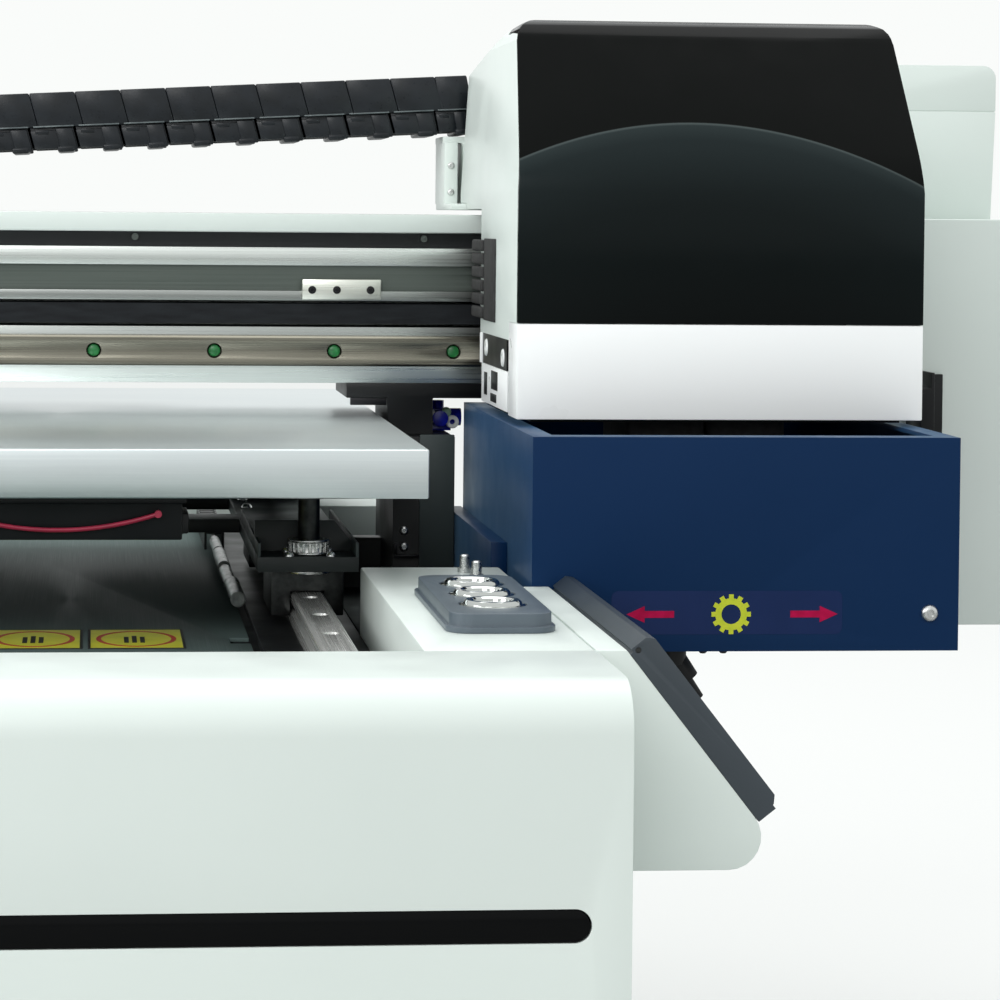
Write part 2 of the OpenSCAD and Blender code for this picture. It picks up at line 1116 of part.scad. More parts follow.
cap_tray();
cap_adjuster();
pod_lid();
push_button(-283);  // button_1
push_button(-250);  // button_2
push_button(-217);  // button_3
power_rocker();
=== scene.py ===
import json
import math

import bmesh
import bpy
from mathutils import Matrix, Vector


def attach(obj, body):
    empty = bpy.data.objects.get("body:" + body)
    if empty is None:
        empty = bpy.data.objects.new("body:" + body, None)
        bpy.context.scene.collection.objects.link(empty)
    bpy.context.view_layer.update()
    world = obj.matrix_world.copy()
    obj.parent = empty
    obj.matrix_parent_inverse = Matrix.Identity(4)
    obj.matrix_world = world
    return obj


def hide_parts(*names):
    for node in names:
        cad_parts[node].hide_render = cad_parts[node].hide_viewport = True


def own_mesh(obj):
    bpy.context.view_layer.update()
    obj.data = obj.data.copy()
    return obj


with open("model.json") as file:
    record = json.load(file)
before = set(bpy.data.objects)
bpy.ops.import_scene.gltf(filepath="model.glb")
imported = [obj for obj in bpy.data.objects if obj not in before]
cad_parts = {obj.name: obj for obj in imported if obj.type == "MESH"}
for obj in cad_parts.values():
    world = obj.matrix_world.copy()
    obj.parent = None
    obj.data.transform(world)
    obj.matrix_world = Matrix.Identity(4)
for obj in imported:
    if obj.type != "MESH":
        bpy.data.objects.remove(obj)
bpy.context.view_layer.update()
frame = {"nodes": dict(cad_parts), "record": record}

# ---- Studio ----
# A long lens a metre in front of the gantry, a pale paper floor, and a white room whose
# light comes mostly from above and from the left, with three soft boxes.
lens = bpy.data.cameras.new("lens")
lens.lens = 108.98
lens.sensor_width = 36.0
lens.shift_x = 0.15
lens.shift_y = -0.2
lens.clip_end = 30.0
eye = bpy.data.objects.new("eye", lens)
bpy.context.scene.collection.objects.link(eye)
yaw, pitch, roll = 0.08527, -0.02718, 0.00854
ahead = Vector((math.sin(yaw) * math.cos(pitch), math.cos(yaw) * math.cos(pitch), math.sin(pitch)))
level = Vector((math.cos(yaw), -math.sin(yaw), 0))
upright = level.cross(ahead)
right = level * math.cos(roll) + upright * math.sin(roll)
up = upright * math.cos(roll) - level * math.sin(roll)
stand = Matrix((right, up, -ahead)).transposed().to_4x4()
stand.translation = (0.01418, -1.46301, 0.45408)
eye.matrix_world = stand
bpy.context.scene.camera = eye
bpy.context.scene.view_settings.view_transform = "Standard"

room = bpy.data.worlds.new("white_room")
bpy.context.scene.world = room
room.use_nodes = True
air = room.node_tree
air.nodes.clear()
plain = air.nodes.new("ShaderNodeBackground")
plain.inputs["Color"].default_value = (0.955, 0.973, 0.958, 1)
lit = air.nodes.new("ShaderNodeBackground")
lit.inputs["Strength"].default_value = 1.0
compass = air.nodes.new("ShaderNodeSeparateXYZ")
air.links.new(air.nodes.new("ShaderNodeTexCoord").outputs["Generated"], compass.inputs[0])
height = air.nodes.new("ShaderNodeMath")
height.operation = "MULTIPLY_ADD"
height.inputs[1].default_value = 0.5
height.inputs[2].default_value = 0.5
air.links.new(compass.outputs["Z"], height.inputs[0])
sky = air.nodes.new("ShaderNodeValToRGB")
sky.color_ramp.elements[0].position = 0.3
sky.color_ramp.elements[0].color = (0.48, 0.49, 0.485, 1)
sky.color_ramp.elements[1].position = 0.85
sky.color_ramp.elements[1].color = (1.0, 1.02, 1.02, 1)
middle = sky.color_ramp.elements.new(0.52)
middle.color = (0.88, 0.90, 0.895, 1)
air.links.new(height.outputs[0], sky.inputs[0])
air.links.new(sky.outputs[0], lit.inputs["Color"])
choose = air.nodes.new("ShaderNodeMixShader")
air.links.new(air.nodes.new("ShaderNodeLightPath").outputs["Is Camera Ray"], choose.inputs[0])
air.links.new(lit.outputs[0], choose.inputs[1])
air.links.new(plain.outputs[0], choose.inputs[2])
air.links.new(choose.outputs[0], air.nodes.new("ShaderNodeOutputWorld").inputs["Surface"])


def softbox(name, place, target, width, height, watts):
    """A soft rectangular lamp at a place, aimed at a target."""
    data = bpy.data.lights.new(name, "AREA")
    data.shape = "RECTANGLE"
    data.size = width
    data.size_y = height
    data.energy = watts
    box = bpy.data.objects.new(name, data)
    bpy.context.scene.collection.objects.link(box)
    box.location = place
    box.rotation_euler = (Vector(target) - Vector(place)).to_track_quat("-Z", "Y").to_euler()


softbox("left_light", (-2.6, -1.0, 1.5), (0.1, 0.0, 0.35), 1.6, 1.4, 30)
softbox("front_light", (-1.2, -3.3, 2.1), (0.1, 0.0, 0.35), 1.6, 1.2, 33)
softbox("top_light", (0.2, 0.5, 2.6), (0.1, -0.1, 0.3), 2.2, 1.6, 23)

floor_mesh = bpy.data.meshes.new("floor")
paper_sheet = bmesh.new()
bmesh.ops.create_grid(paper_sheet, x_segments=1, y_segments=1, size=12.0)
paper_sheet.to_mesh(floor_mesh)
paper_sheet.free()
floor = bpy.data.objects.new("floor", floor_mesh)
bpy.context.scene.collection.objects.link(floor)
floor_finish = bpy.data.materials.new("floor_paper")
floor_finish.use_nodes = True
paper = floor_finish.node_tree.nodes["Principled BSDF"]
paper.inputs["Base Color"].default_value = (0.40, 0.405, 0.40, 1)
paper.inputs["Roughness"].default_value = 0.9
bright = floor_finish.node_tree.nodes.new("ShaderNodeLightPath").outputs["Is Camera Ray"]
paper.inputs["Emission Color"].default_value = (0.97, 0.99, 0.975, 1)
glow = floor_finish.node_tree.nodes.new("ShaderNodeMath")
glow.operation = "MULTIPLY"
glow.inputs[1].default_value = 0.44
floor_finish.node_tree.links.new(bright, glow.inputs[0])
floor_finish.node_tree.links.new(glow.outputs[0], paper.inputs["Emission Strength"])
floor_mesh.materials.append(floor_finish)

# ---- Front shell, side covers, back panel, decks and end housings ----
# Folded 3 mm steel sheet, powder coated off-white; every edge is a small press-brake
# radius, and the front is one cover with a rolled top edge.
home_of = {n: b for b, names in frame["record"]["behaviour"]["bodies"].items() for n in names}


def finish(name, colour, rough, metal=0.0):
    """A new material with its node tree, its shader and its object coordinates."""
    skin = bpy.data.materials.new(name)
    skin.use_nodes = True
    tree = skin.node_tree
    shader = tree.nodes["Principled BSDF"]
    shader.inputs["Base Color"].default_value = (*colour, 1)
    shader.inputs["Roughness"].default_value = rough
    shader.inputs["Metallic"].default_value = metal
    return skin, tree, shader, tree.nodes.new("ShaderNodeTexCoord").outputs["Object"]


def grain(tree, where, size, stretch=(1, 1, 1), detail=4.0):
    """Noise whose grains are size metres, longer along an axis whose stretch is above 1."""
    place = tree.nodes.new("ShaderNodeMapping")
    place.inputs["Scale"].default_value = [1.0 / (size * s) for s in stretch]
    tree.links.new(where, place.inputs["Vector"])
    noise = tree.nodes.new("ShaderNodeTexNoise")
    noise.inputs["Scale"].default_value = 1.0
    noise.inputs["Detail"].default_value = detail
    tree.links.new(place.outputs[0], noise.inputs["Vector"])
    return noise.outputs["Fac"]


def vary(tree, shader, socket, fac, low, high):
    """A grain sets a number or a colour of the shader, from low to high."""
    if isinstance(low, (int, float)):
        span = tree.nodes.new("ShaderNodeMapRange")
        span.inputs["From Min"].default_value = 0.3
        span.inputs["From Max"].default_value = 0.7
        span.inputs["To Min"].default_value = low
        span.inputs["To Max"].default_value = high
        tree.links.new(fac, span.inputs["Value"])
        tree.links.new(span.outputs[0], shader.inputs[socket])
        return
    ramp = tree.nodes.new("ShaderNodeValToRGB")
    ramp.color_ramp.elements[0].position = 0.3
    ramp.color_ramp.elements[0].color = (*low, 1)
    ramp.color_ramp.elements[1].position = 0.7
    ramp.color_ramp.elements[1].color = (*high, 1)
    tree.links.new(fac, ramp.inputs[0])
    tree.links.new(ramp.outputs[0], shader.inputs[socket])


def relief(tree, shader, fac, depth, strength=1.0):
    """A grain becomes relief of that depth in metres."""
    bump = tree.nodes.new("ShaderNodeBump")
    bump.inputs["Distance"].default_value = depth
    bump.inputs["Strength"].default_value = strength
    tree.links.new(fac, bump.inputs["Height"])
    tree.links.new(bump.outputs[0], shader.inputs["Normal"])


def powder_coat(name, low, high, rough, gloss=0.35):
    """Baked paint with a slight orange peel, its colour between low and high."""
    skin, tree, shader, where = finish(name, high, rough)
    vary(tree, shader, "Base Color", grain(tree, where, 0.12), low, high)
    vary(tree, shader, "Roughness", grain(tree, where, 0.03), rough * 0.85, rough * 1.2)
    relief(tree, shader, grain(tree, where, 0.0016, detail=1.5), 0.00003, 0.4)
    shader.inputs["Specular IOR Level"].default_value = gloss
    return skin


def smooth_faces(shape, limit, flat_over=1.0):
    """Faces shade smooth, but not those over flat_over square metres; an edge that turns more
    than limit degrees stays crisp."""
    for f in shape.faces:
        f.smooth = f.calc_area() < flat_over
    for e in shape.edges:
        e.smooth = len(e.link_faces) == 2 and e.calc_face_angle(0.0) < math.radians(limit)


def add_piece(name, shape, skin, body, limit=32, flat_over=1.0):
    """The shape becomes an object that rides on a body."""
    smooth_faces(shape, limit, flat_over)
    data = bpy.data.meshes.new(name)
    shape.to_mesh(data)
    shape.free()
    data.materials.append(skin)
    piece = bpy.data.objects.new(name, data)
    bpy.context.scene.collection.objects.link(piece)
    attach(piece, body)
    return piece


def round_edges(shape, radius, steps=3, sharper_than=26.0):
    """Breaks the edges that turn more than sharper_than degrees."""
    edges = [e for e in shape.edges
             if len(e.link_faces) == 2 and e.calc_face_angle(0.0) > math.radians(sharper_than)]
    bmesh.ops.bevel(shape, geom=edges, offset=radius, offset_type="OFFSET", affect="EDGES",
                    segments=steps, profile=0.5, material=-1, clamp_overlap=True)


def dress(node, skin, radius=0.0006, steps=2, flat_over=1.0):
    """The CAD node with its flat faces joined and its edges broken, in its real finish."""
    shape = bmesh.new()
    shape.from_mesh(frame["nodes"][node].data)
    bmesh.ops.remove_doubles(shape, verts=shape.verts, dist=2e-6)
    bmesh.ops.dissolve_limit(shape, angle_limit=math.radians(0.6), verts=shape.verts,
                             edges=shape.edges, use_dissolve_boundaries=False)
    if radius:
        round_edges(shape, radius, steps)
    piece = add_piece(node + "_skin", shape, skin, home_of[node], 24, flat_over)
    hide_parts(node)
    return piece


white_coat = powder_coat("white_powder_coat", (0.665, 0.73, 0.695), (0.685, 0.75, 0.715), 0.34)
dress("front_shell", white_coat, 0.0018, 4)
dress("deck_right", white_coat, 0.0009)
dress("deck_left", white_coat, 0.0009)
dress("side_covers", white_coat, 0.0008, flat_over=0.004)
dress("rear_panel", white_coat, 0.0005, flat_over=0.004)
dress("upper_housing_right", white_coat, 0.0006)
dress("end_housing_right", white_coat, 0.0012, 3)
dress("end_housing_left", white_coat, 0.0012, 3)


def join(shape, new):
    """Adds one bmesh to another."""
    carrier = bpy.data.meshes.new("carrier")
    new.to_mesh(carrier)
    new.free()
    shape.from_mesh(carrier)
    bpy.data.meshes.remove(carrier)


def turned(shape, place, axis, outline, sides=24):
    """An outline of (radius, height) steps in millimetres, turned about an axis."""
    new = bmesh.new()
    points = [new.verts.new((r * 0.001, 0, h * 0.001)) for r, h in outline]
    for a, b in zip(points, points[1:]):
        new.edges.new((a, b))
    bmesh.ops.spin(new, geom=new.verts[:] + new.edges[:], cent=(0, 0, 0), axis=(0, 0, 1),
                   angle=2 * math.pi, steps=sides, use_merge=True)
    bmesh.ops.remove_doubles(new, verts=new.verts, dist=1e-7)
    bmesh.ops.recalc_face_normals(new, faces=new.faces)
    swing = Vector((0, 0, 1)).rotation_difference(Vector(axis)).to_matrix().to_4x4()
    put = Matrix.Translation(Vector(place) * 0.001) @ swing
    bmesh.ops.transform(new, matrix=put, verts=new.verts)
    join(shape, new)


def block(shape, x0, x1, y0, y1, z0, z1, edge=0.3, steps=2):
    """A box between those millimetres, its edges broken."""
    new = bmesh.new()
    bmesh.ops.create_cube(new, size=0.001)
    bmesh.ops.scale(new, vec=(x1 - x0, y1 - y0, z1 - z0), verts=new.verts)
    bmesh.ops.translate(new, vec=Vector((x0 + x1, y0 + y1, z0 + z1)) * 0.0005, verts=new.verts)
    if edge:
        bmesh.ops.bevel(new, geom=new.edges[:], offset=edge * 0.001, affect="EDGES",
                        segments=steps, profile=0.5, material=-1, clamp_overlap=True)
    join(shape, new)


BUTTON_HEAD = [(0, 0.7), (1.5, 0.7), (1.65, 2.1), (2.2, 2.1), (3.1, 1.6), (3.7, 0.7), (3.8, 0),
               (0, 0)]
zinc, tree, shader, where = finish("zinc_plate", (0.62, 0.63, 0.62), 0.3, 1.0)
vary(tree, shader, "Base Color", grain(tree, where, 0.002), (0.5, 0.51, 0.5), (0.7, 0.71, 0.7))
vary(tree, shader, "Roughness", grain(tree, where, 0.001), 0.22, 0.38)
heads = bmesh.new()
for x in (-185, -60, 60, 185):
    for z in (56, 280):
        turned(heads, (x, 439.4, z), (0, -1, 0), [(r * 0.7, -h * 0.2) for r, h in BUTTON_HEAD], 16)
for s in (-1, 1):
    for y in (-330, -120, 120, 330):
        for z in (56, 246):
            turned(heads, (s * 200.4, y, z), (-s, 0, 0),
                   [(r * 0.7, -h * 0.2) for r, h in BUTTON_HEAD], 16)
    for x in (412, 508):
        for z in (262, 440):
            turned(heads, (s * x, 249.4, z), (0, -1, 0),
                   [(r * 0.7, -h * 0.2) for r, h in BUTTON_HEAD], 16)
add_piece("panel_screws", heads, zinc, "frame")

# ---- Light strip ----
# A long bar of black cast acrylic let into the front shell, polished on its face.
gloss_black, tree, shader, where = finish("black_acrylic", (0.0025, 0.0028, 0.003), 0.12)
vary(tree, shader, "Roughness", grain(tree, where, 0.02), 0.1, 0.17)
shader.inputs["Specular IOR Level"].default_value = 0.08
dress("front_strip", gloss_black, 0.0005)

# ---- Pan, webs, rail beams and feet ----
# Welded steel chassis in dark grey powder coat; rubber levelling feet.
dark_coat = powder_coat("dark_powder_coat", (0.006, 0.007, 0.0075), (0.012, 0.013, 0.014), 0.42, 0.25)
dress("chassis", dark_coat, 0.0005)
rubber, tree, shader, where = finish("rubber", (0.02, 0.02, 0.02), 0.75)
vary(tree, shader, "Base Color", grain(tree, where, 0.004), (0.012, 0.012, 0.012), (0.03, 0.03, 0.03))
relief(tree, shader, grain(tree, where, 0.0012), 0.0001)
dress("levelling_feet", rubber, 0.0008)


# ---- Trough floor ----
# One sheet of brushed stainless steel between the rails, brushed along the table's travel,
# with a finger slot at its right edge and two yellow labels, each with a red ring and bars.
def brushed(name, low, high, rough, along, size=0.0004, deep=0.000003, clear=0.25):
    """Metal with the fine parallel scratches of a belt, along one axis."""
    skin, tree, shader, where = finish(name, high, rough, 1.0)
    stretch = [1.0, 1.0, 1.0]
    stretch[along] = 220.0
    lines = grain(tree, where, size, stretch, 2.0)
    clouds = grain(tree, where, 0.05, [4.0 if i == along else 1.0 for i in range(3)])
    both = tree.nodes.new("ShaderNodeMix")
    both.data_type = "FLOAT"
    both.inputs[0].default_value = 0.55
    tree.links.new(lines, both.inputs[2])
    tree.links.new(clouds, both.inputs[3])
    vary(tree, shader, "Base Color", both.outputs[0], low, high)
    vary(tree, shader, "Roughness", lines, rough * (1 - clear), rough * (1 + clear))
    relief(tree, shader, lines, deep, 0.6)
    shader.inputs["Anisotropic"].default_value = 0.4
    return skin


# The sheet's colour is painted shade: a dark grey with almost no metal shine, standing for the shade under
# the table.
trough_steel_painted_shade = brushed("brushed_stainless_painted_shade", (0.085, 0.120, 0.114), (0.120, 0.162, 0.155), 0.5, 1,
                    0.0004, 0.0000015, 0.15)
sheet = trough_steel_painted_shade.node_tree.nodes["Principled BSDF"]
sheet.inputs["Metallic"].default_value = 0.05
sheet.inputs["Specular IOR Level"].default_value = 0.03
dress("trough_plate", trough_steel_painted_shade, 0.0003)
vinyl, tree, shader, where = finish("yellow_vinyl", (0.75, 0.72, 0.01), 0.4)
vary(tree, shader, "Base Color", grain(tree, where, 0.01), (0.70, 0.70, 0.008), (0.80, 0.80, 0.015))
red_ink, tree, shader, where = finish("red_ink", (0.55, 0.03, 0.02), 0.45)
vary(tree, shader, "Base Color", grain(tree, where, 0.01), (0.48, 0.02, 0.015), (0.6, 0.04, 0.02))
black_ink, tree, shader, where = finish("black_ink", (0.006, 0.006, 0.005), 0.5)
vary(tree, shader, "Base Color", grain(tree, where, 0.01), (0.004, 0.004, 0.004), (0.009, 0.009, 0.008))
yellow, frames, bars = bmesh.new(), bmesh.new(), bmesh.new()
for x0, x1 in ((14.2, 56.2), (-31.0, 10.6)):
    block(yellow, x0, x1, -134, -74, 264, 264.18, 0)
    for a, b, c, d in ((x0 - 0.6, x0 + 0.6, -134.6, -73.4), (x1 - 0.6, x1 + 0.6, -134.6, -73.4),
                       (x0, x1, -134.8, -133.6), (x0, x1, -74.6, -73.4)):
        block(bars, a, b, c, d, 264, 264.26, 0)
    for k in range(3):
        block(bars, x0 + 15.5 + 3.6 * k, x0 + 17.6 + 3.6 * k, -117, -99 + 3 * (k % 2), 264, 264.3, 0)
    new = bmesh.new()
    bmesh.ops.create_circle(new, cap_ends=True, segments=32, radius=0.001)
    bmesh.ops.scale(new, vec=(18.0, 25.0, 1), verts=new.verts)
    ring = bmesh.ops.inset_region(new, faces=new.faces[:], use_boundary=True, thickness=0.0022,
                                  use_even_offset=True)
    hole = [f for f in new.faces if f not in ring["faces"]]
    bmesh.ops.delete(new, geom=hole, context="FACES")
    wall = bmesh.ops.extrude_face_region(new, geom=new.faces[:])
    bmesh.ops.translate(new, vec=(0, 0, 0.0001),
                        verts=[v for v in wall["geom"] if isinstance(v, bmesh.types.BMVert)])
    bmesh.ops.translate(new, vec=(0.0005 * (x0 + x1), -0.1045, 0.26416), verts=new.verts)
    bmesh.ops.recalc_face_normals(new, faces=new.faces)
    join(frames, new)
add_piece("label_sheets", yellow, vinyl, "frame")
add_piece("label_rings", frames, red_ink, "frame")
add_piece("label_bars", bars, black_ink, "frame")

# ---- Table rails, guide carriages and the drive screw ----
# Ground and hardened profile rails with counterbored screws, and steel guide carriages.
long_steel = brushed("ground_rail_along_y", (0.5, 0.51, 0.49), (0.68, 0.68, 0.66), 0.24, 1)
turned_steel, tree, shader, where = finish("turned_steel", (0.6, 0.6, 0.59), 0.26, 1.0)
vary(tree, shader, "Base Color", grain(tree, where, 0.003), (0.5, 0.5, 0.49), (0.68, 0.68, 0.67))
vary(tree, shader, "Roughness", grain(tree, where, 0.0007, (8, 8, 1)), 0.18, 0.36)
relief(tree, shader, grain(tree, where, 0.0006, (10, 10, 1)), 0.00002, 0.6)
long_steel.node_tree.nodes["Principled BSDF"].inputs["Metallic"].default_value = 0.6
dress("y_rails", long_steel, 0.0003)
block_steel, tree, shader, where = finish("guide_carriage_steel", (0.05, 0.052, 0.052), 0.38, 1.0)
vary(tree, shader, "Base Color", grain(tree, where, 0.004), (0.035, 0.037, 0.037), (0.07, 0.073, 0.072))
vary(tree, shader, "Roughness", grain(tree, where, 0.0009), 0.32, 0.45)
dress("y_blocks", block_steel, 0.0007)
dress("y_screw", turned_steel, 0.0003)
rail_screws = bmesh.new()
for x in (-115, 115):
    for i in range(13):
        turned(rail_screws, (x, -323 + 60 * i, 275.0), (0, 0, 1),
               [(0, 0.9), (1.5, 0.9), (1.6, 2.9), (3.1, 2.9), (3.3, 2.6), (3.3, -0.2), (0, -0.2)], 18)
add_piece("rail_screws", rail_screws, turned_steel, "frame")

# ---- Gantry beam, its rail and belt ----
# Extruded aluminium, brushed and clear anodised, with a belt groove; the ground rail is
# held by screws under green plastic plugs, and the top cover by small cap screws.
def fill_ramp(ramp, steps):
    """The steps of a colour ramp, each a place and a colour."""
    stops = ramp.color_ramp.elements
    while len(stops) < len(steps):
        stops.new(0.5)
    for stop, (at, colour) in zip(stops, steps):
        stop.position = at
    for stop, (at, colour) in zip(stops, steps):
        stop.color = (*colour, 1)


beam_alu = brushed("beam_aluminium", (0.68, 0.72, 0.69), (0.80, 0.84, 0.81), 0.3, 0, 0.0006, 0.000003, 0.18)
beam_alu_painted_shade = beam_alu.copy()
beam_alu_painted_shade.name = "beam_aluminium_painted_shade"
tree = beam_alu_painted_shade.node_tree
shader = tree.nodes["Principled BSDF"]
axes = tree.nodes.new("ShaderNodeSeparateXYZ")
tree.links.new(next(n for n in tree.nodes if n.type == "TEX_COORD").outputs["Object"], axes.inputs[0])
level_of = tree.nodes.new("ShaderNodeMapRange")
beam_low, beam_high = 370.0, 457.0
level_of.inputs["From Min"].default_value = beam_low * 0.001
level_of.inputs["From Max"].default_value = beam_high * 0.001
tree.links.new(axes.outputs["Z"], level_of.inputs["Value"])
painted_shade_ramp = tree.nodes.new("ShaderNodeValToRGB")
painted_shade_ramp.color_ramp.interpolation = "CONSTANT"
tree.links.new(level_of.outputs[0], painted_shade_ramp.inputs[0])
# Painted shade and light by height: the base colour is darker over the rail, belt groove and ledge (391.5
# to 429.8 mm) and lighter at the bottom (370 mm), standing for how light falls on each band.
painted_shade_bands = [(370.0, 1.10), (377.5, 0.98), (391.5, 0.50), (412.2, 0.46), (429.8, 0.90), (446.0, 0.95)]
fill_ramp(painted_shade_ramp, [((z - beam_low) / (beam_high - beam_low), (tone,) * 3) for z, tone in painted_shade_bands])
blend = tree.nodes.new("ShaderNodeMix")
blend.data_type = "RGBA"
blend.blend_type = "MULTIPLY"
blend.inputs[0].default_value = 1.0
tree.links.new(shader.inputs["Base Color"].links[0].from_socket, blend.inputs[6])
tree.links.new(painted_shade_ramp.outputs[0], blend.inputs[7])
tree.links.new(blend.outputs[2], shader.inputs["Base Color"])
dress("beam", beam_alu_painted_shade, 0.0004)
cap_strip = bmesh.new()
block(cap_strip, -399.8, 399.8, 58.2, 59.2, 446.8, 455.8, 0.3)
add_piece("beam_cover_strip", cap_strip, white_coat, "frame")
plate_alu = brushed("plate_aluminium", (0.62, 0.64, 0.58), (0.80, 0.81, 0.74), 0.34, 0)
dress("beam_plate", plate_alu, 0.0006)
ground_steel = brushed("ground_rail_along_x", (0.14, 0.132, 0.105), (0.26, 0.25, 0.205), 0.28, 0)
dress("x_rail", ground_steel, 0.0003)
belt_skin, tree, shader, where = finish("belt_rubber", (0.01, 0.01, 0.011), 0.6)
vary(tree, shader, "Base Color", grain(tree, where, 0.003, (6, 1, 1)), (0.006, 0.007, 0.009),
     (0.014, 0.017, 0.02))
relief(tree, shader, grain(tree, where, 0.0012), 0.00008)
shader.inputs["Specular IOR Level"].default_value = 0.2
dress("x_belt", belt_skin, 0.0)
dress("drive_pulley", turned_steel, 0.0003)
dress("idler_pulley", turned_steel, 0.0003)
# A near-black sheet at the back of the top groove, 439 to 446 mm, is painted shade of the groove.
groove_shade_skin, tree, shader, where = finish("groove_painted_shade", (0.01, 0.012, 0.014), 0.55)
vary(tree, shader, "Base Color", grain(tree, where, 0.02, (10, 1, 1)), (0.008, 0.010, 0.012),
     (0.016, 0.019, 0.022))
groove_shade_sheet = bmesh.new()
block(groove_shade_sheet, -399.5, 399.5, 73.6, 74.9, 438.9, 446.3, 0)
add_piece("top_slot_shade_lining", groove_shade_sheet, groove_shade_skin, "frame")
# A thin dark aluminium sheet over the recessed ledge, 417 to 430 mm, is painted shade of the recess.
ledge_shade_sheet = bmesh.new()
block(ledge_shade_sheet, -399.5, 399.5, 64.9, 65.9, 417.1, 429.6, 0)
ledge_shade_alu = brushed("aluminium_painted_ledge_shade", (0.098, 0.118, 0.106), (0.15, 0.17, 0.155), 0.4, 0, 0.0008)
add_piece("ledge_shade_lining", ledge_shade_sheet, ledge_shade_alu, "frame")
plug_green, tree, shader, where = finish("green_plug", (0.01, 0.16, 0.04), 0.3)
vary(tree, shader, "Base Color", grain(tree, where, 0.002), (0.006, 0.11, 0.025), (0.02, 0.24, 0.06))
plugs = bmesh.new()
for i in range(-6, 7):
    turned(plugs, (15.5 + 60 * i, 48.8, 387.2), (0, -1, 0),
           [(0, 1.5), (2.0, 1.4), (2.9, 0.9), (3.2, 0), (3.2, -1.5), (0, -1.5)], 24)
add_piece("rail_plugs", plugs, plug_green, "frame")
small_heads = bmesh.new()
for i in range(-2, 3):
    turned(small_heads, (36 + 147 * i, 73.5, 443.6), (0, -1, 0),
           [(0, 0.6), (0.9, 0.6), (1.0, 1.4), (1.7, 1.4), (1.8, 1.0), (1.8, 0), (0, 0)], 18)
plate_heads = bmesh.new()
for x in (125, 137.5, 154.5):
    turned(plate_heads, (x, 57.6, 417.6), (0, -1, 0),
           [(0, 0.3), (1.0, 0.3), (1.1, 0.9), (1.9, 0.8), (2.1, 0), (0, 0)], 16)
black_screw, tree, shader, where = finish("black_oxide", (0.02, 0.02, 0.022), 0.35, 0.8)
vary(tree, shader, "Roughness", grain(tree, where, 0.001), 0.28, 0.45)
add_piece("plate_screws", plate_heads, black_screw, "frame")
dull_zinc, tree, shader, where = finish("dull_zinc", (0.16, 0.18, 0.17), 0.4, 1.0)
vary(tree, shader, "Roughness", grain(tree, where, 0.001), 0.32, 0.5)
add_piece("beam_screws", small_heads, dull_zinc, "frame")

# ---- Gantry columns, motors, tray and stops ----
# Plate brackets and square posts in satin black, with a grey cover strip on the right one.
satin_black = powder_coat("satin_black_paint", (0.0045, 0.005, 0.0055), (0.008, 0.009, 0.010), 0.4, 0.25)
columns = dress("gantry_columns", satin_black, 0.0007)
dress("motors", satin_black, 0.0008)
dress("chain_tray", dark_coat, 0.0004)
dress("home_sensor", satin_black, 0.0004)
dress("drain_spout", satin_black, 0.0004)
dress("power_inlet", satin_black, 0.0004)
dress("power_rocker", satin_black, 0.0005)
charcoal = powder_coat("charcoal_paint", (0.040, 0.052, 0.052), (0.050, 0.064, 0.064), 0.45, 0.25)
covers = bmesh.new()
for s in (-1, 1):
    block(covers, *sorted((s * 178.2, s * 195.6)), 38.4, 40, 262.4, 346, 0.4)
add_piece("column_covers", covers, charcoal, "frame")
column_heads = bmesh.new()
for s in (-1, 1):
    for z in (289.7, 297.8):
        turned(column_heads, (s * 170.8, 39.9, z), (0, -1, 0),
               [(r * 0.6, h * 0.6) for r, h in BUTTON_HEAD], 18)
add_piece("column_bolts", column_heads, zinc, "frame")
lips = bmesh.new()
block(lips, 165.5, 178, 36.6, 40, 284.6, 286.0, 0.3)
block(lips, 165.5, 167, 36.6, 40, 286.0, 292.0, 0.3)
block(lips, 145, 163.4, 60, 63, 359.4, 363, 0.3)
add_piece("column_lips", lips, black_screw, "frame")
fitting_blue, tree, shader, where = finish("fitting_blue", (0.01, 0.015, 0.5), 0.22)
vary(tree, shader, "Base Color", grain(tree, where, 0.004), (0.008, 0.012, 0.34), (0.012, 0.02, 0.5))
dress("air_fittings", fitting_blue, 0.0006)
fitting_white, tree, shader, where = finish("fitting_white", (0.75, 0.78, 0.77), 0.3)
vary(tree, shader, "Base Color", grain(tree, where, 0.004), (0.68, 0.71, 0.7), (0.8, 0.82, 0.81))
rings = bmesh.new()
turned(rings, (187.4, 83.0, 352.6), (0, -1, 0),
       [(1.8, 0), (1.8, 3), (3.4, 3), (3.9, 2.2), (3.9, 0), (1.8, 0)], 24)
turned(rings, (199.5, 83.0, 349.6), (0, -1, 0),
       [(1.4, 0), (1.4, 2.6), (3.0, 2.6), (3.4, 2), (3.4, 0), (1.4, 0)], 24)
add_piece("fitting_rings", rings, fitting_white, "frame")
green_ring = bmesh.new()
turned(green_ring, (196.5, 82.6, 354.6), (0, -1, 0),
       [(0, 2.2), (1.6, 2.2), (2.4, 1.6), (2.6, 0), (0, 0)], 20)
fitting_green, tree, shader, where = finish("fitting_green", (0.3, 0.5, 0.32), 0.3)
vary(tree, shader, "Base Color", grain(tree, where, 0.004), (0.24, 0.42, 0.27), (0.36, 0.55, 0.38))
add_piece("fitting_green", green_ring, fitting_green, "frame")

